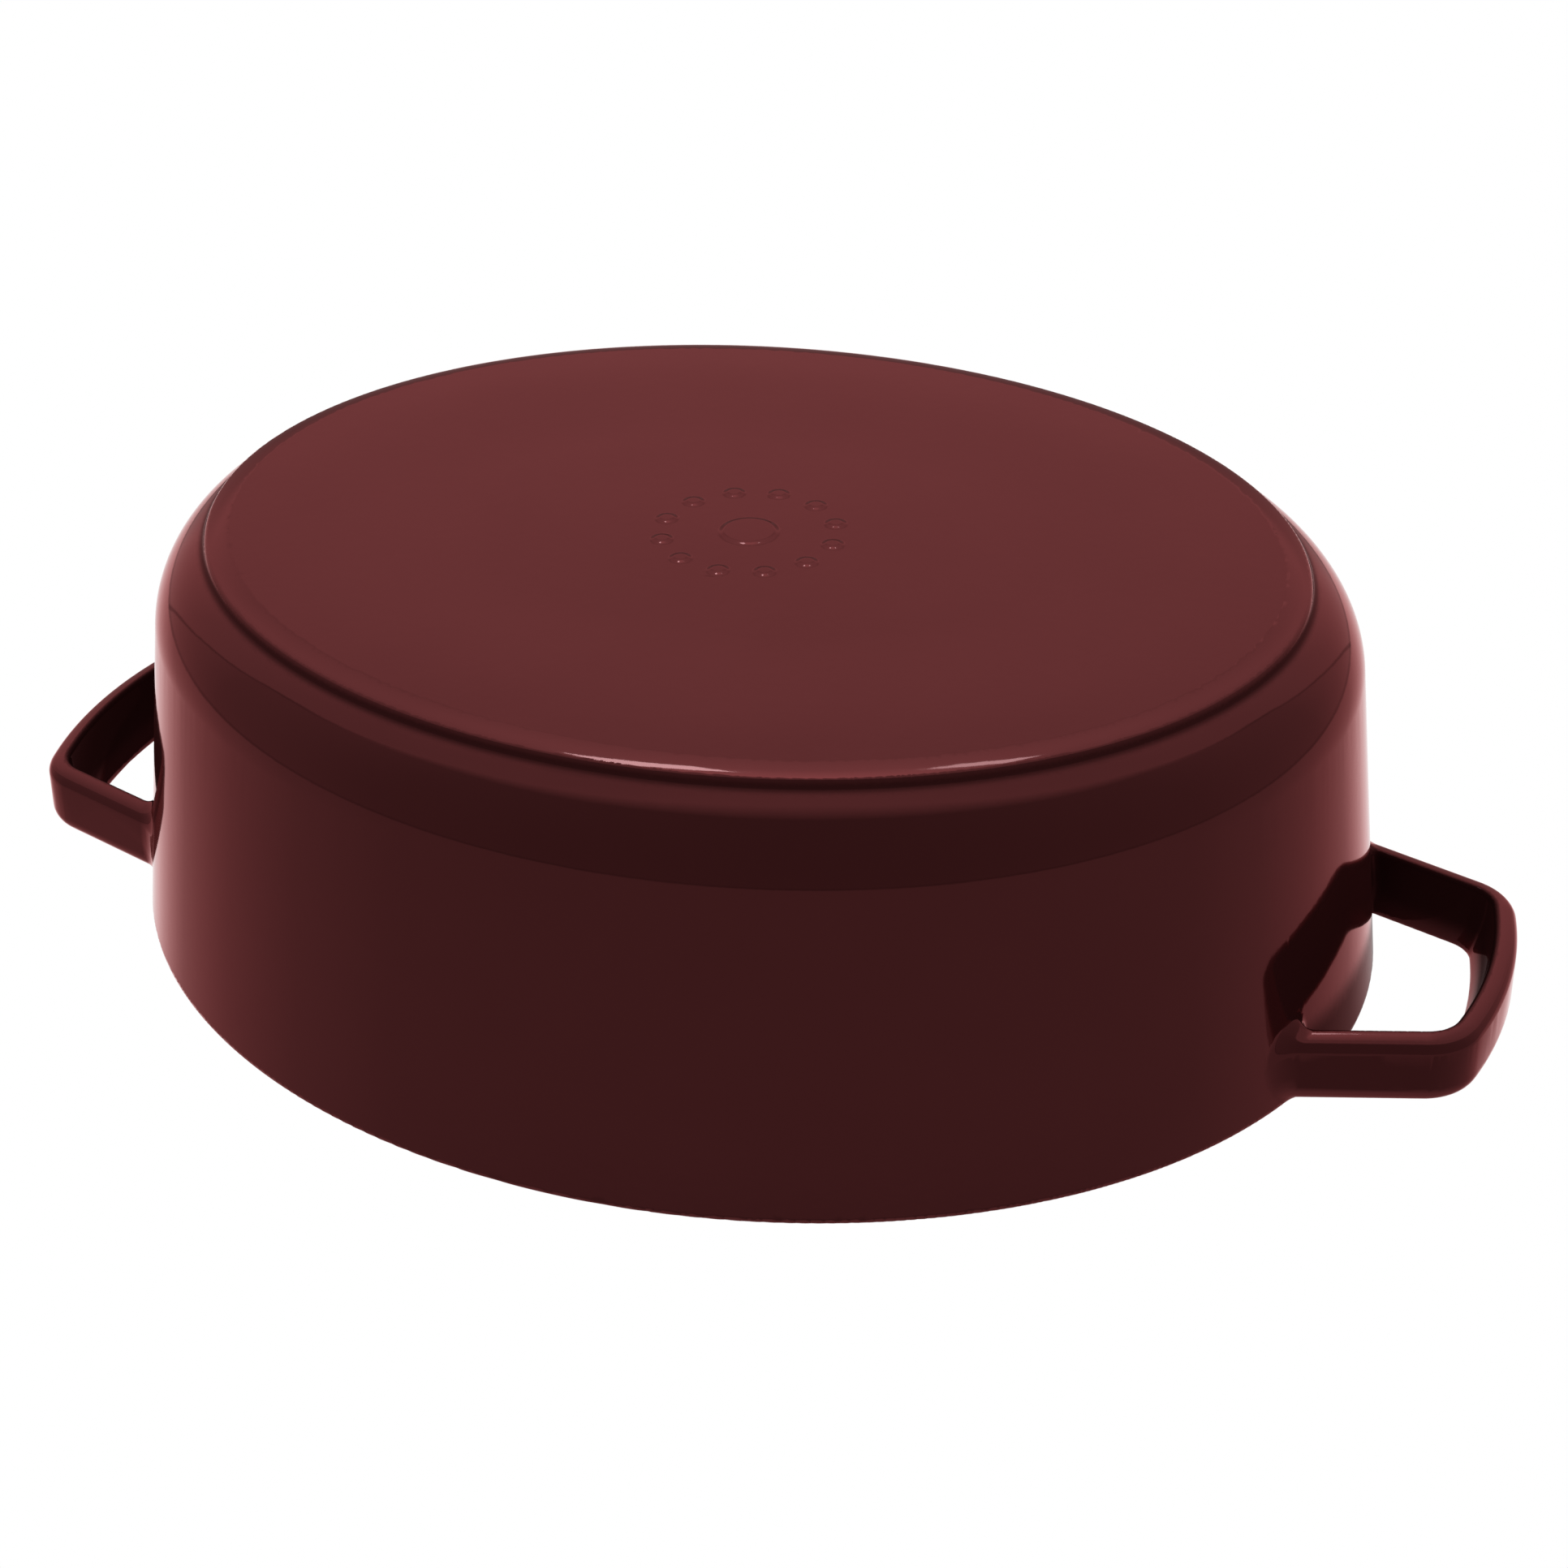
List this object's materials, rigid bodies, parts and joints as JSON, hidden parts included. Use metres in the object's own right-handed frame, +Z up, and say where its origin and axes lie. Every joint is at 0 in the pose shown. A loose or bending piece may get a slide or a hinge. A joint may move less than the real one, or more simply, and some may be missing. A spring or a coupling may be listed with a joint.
{
  "type": "oval dutch oven",
  "caption": "Oval dutch oven in dark red enamelled cast iron, with cast loop handles, a lift-off lid and a metal knob.",
  "frame": {"origin": "middle of the plane that the foot stands on", "axes": "+Z up, +X along the oval's long axis through both handles"},
  "size_m": [0.4488, 0.3134, 0.1694],
  "materials": {
    "pot_enamel": "gloss dark red enamel outside, matt black enamel inside",
    "lid_enamel": "gloss dark red enamel on top, matt black enamel underneath",
    "knob_metal": "polished nickel plate",
    "fastener_steel": "plain"
  },
  "bodies": {
    "pot": {"pot": "pot_enamel"},
    "lid": {"lid": "lid_enamel", "knob": "knob_metal", "knob_screw": "fastener_steel", "knob_washer": "fastener_steel"}
  },
  "joints": [
    {"name": "lid_lift", "type": "slide", "parent": "pot", "child": "lid", "axis": [0, 0, 1], "range_m": [0, 0.12]}
  ]
}
